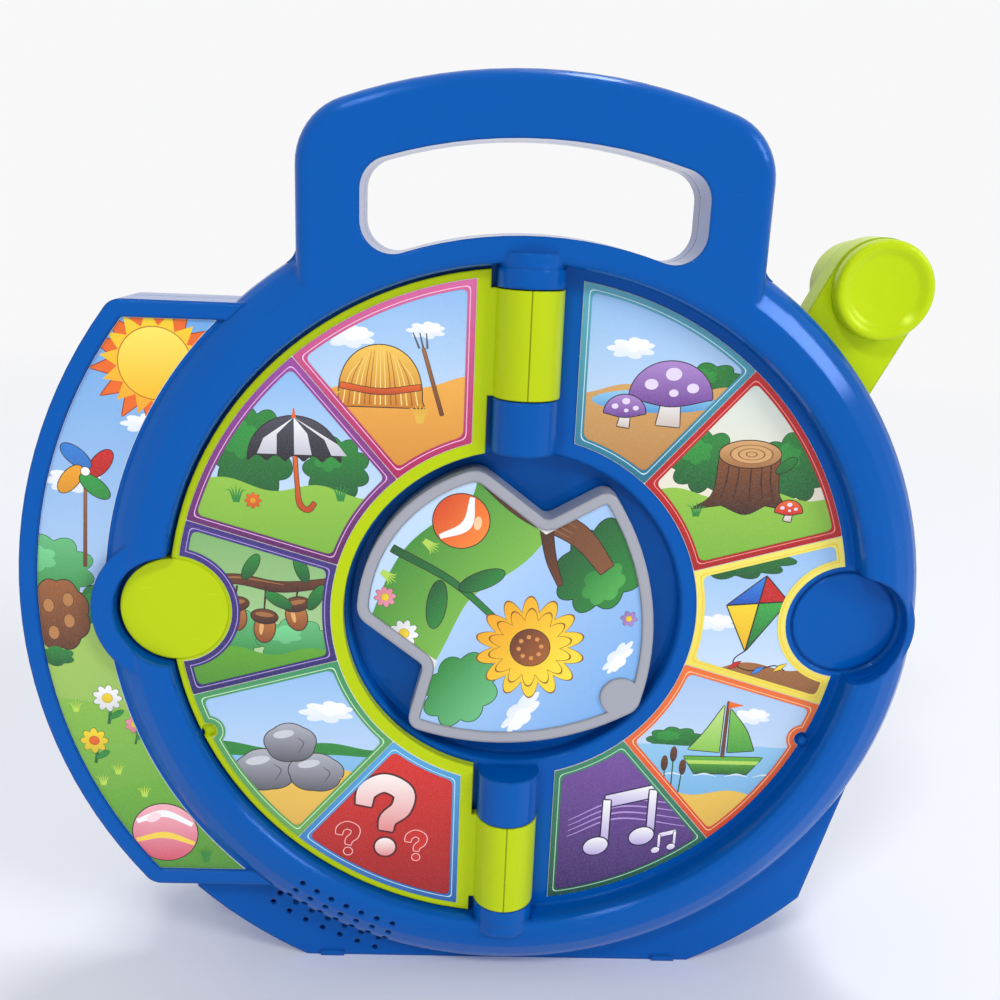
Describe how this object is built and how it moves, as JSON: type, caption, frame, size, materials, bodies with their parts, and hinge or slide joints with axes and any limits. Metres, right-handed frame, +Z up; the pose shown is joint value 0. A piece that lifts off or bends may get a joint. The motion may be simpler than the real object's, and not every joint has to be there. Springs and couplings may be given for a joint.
{
  "type": "sound spinner toy",
  "caption": "Round free-standing sound toy with a carry handle, a turning book page, a spinner in a central well, a pull-down lever and a side picture panel.",
  "frame": {"origin": "on the ground under the base, on the disc's axis plane and midway between the foot's front and back", "axes": "+Z up, the picture side faces -Y, +X to the right of someone who faces the toy"},
  "size_m": [0.2792, 0.0706, 0.2932],
  "materials": {
    "blue_plastic": "glossy moulded plastic",
    "lime_plastic": "glossy moulded plastic",
    "grey_plastic": "satin moulded plastic",
    "printed_label": "coated printed film",
    "black_plastic": "matte",
    "circuit_board": "solder mask",
    "steel": "zinc plated",
    "copper": "spring bronze",
    "magnet": "ferrite",
    "cell_jacket": "printed jacket"
  },
  "bodies": {
    "body": {"front_housing": "blue_plastic", "rear_housing": "blue_plastic", "housing_screws": "steel", "side_panel_label": "printed_label", "right_floor_label": "printed_label", "left_floor_label": "printed_label", "hinge_pins": "steel", "encoder_board": "circuit_board", "lever_pivot_pin": "steel", "lever_return_spring": "steel", "lever_switch": "black_plastic", "page_sense_spring": "steel", "page_sense_switch": "black_plastic", "main_board": "circuit_board", "sound_chip": "black_plastic", "board_screws": "steel", "speaker_basket": "steel", "speaker_cone": "black_plastic", "speaker_magnet": "magnet", "speaker_clamps": "steel", "clamp_screws": "steel", "batteries": "cell_jacket", "battery_contacts": "steel", "battery_door": "blue_plastic", "battery_door_screw": "steel", "power_switch_body": "steel"},
    "page": {"page_front_shell": "lime_plastic", "page_back_shell": "lime_plastic", "page_front_label": "printed_label", "page_back_label": "printed_label", "page_hinge_caps": "lime_plastic"},
    "spinner": {"spinner": "grey_plastic", "spinner_label": "printed_label", "spinner_wiper": "copper", "spinner_screw": "steel"},
    "lever": {"lever": "lime_plastic"},
    "sense_button": {"page_sense_button": "blue_plastic"},
    "power_switch": {"power_switch_knob": "blue_plastic"}
  },
  "joints": [
    {"name": "page_turn", "type": "hinge", "parent": "body", "child": "page", "pos_m": [0, -0.0346, 0.133], "axis": [0, 0, 1], "range_deg": [0, 180]},
    {"name": "spinner_turn", "type": "hinge", "parent": "body", "child": "spinner", "pos_m": [0, -0.03, 0.133], "axis": [0, 1, 0], "continuous": true},
    {"name": "lever_pull", "type": "hinge", "parent": "body", "child": "lever", "pos_m": [0.0666, -0.024, 0.162], "axis": [0, 1, 0], "range_deg": [0, 40], "stiffness_Nm_per_rad": 0.12, "springref_deg": -28.65},
    {"name": "sense_press", "type": "slide", "parent": "body", "child": "sense_button", "axis": [0, 1, 0], "range_m": [0, 0.0012], "stiffness_N_per_m": 150, "springref_m": -0.001},
    {"name": "power_slide", "type": "slide", "parent": "body", "child": "power_switch", "axis": [1, 0, 0], "range_m": [-0.003, 0.003]}
  ]
}
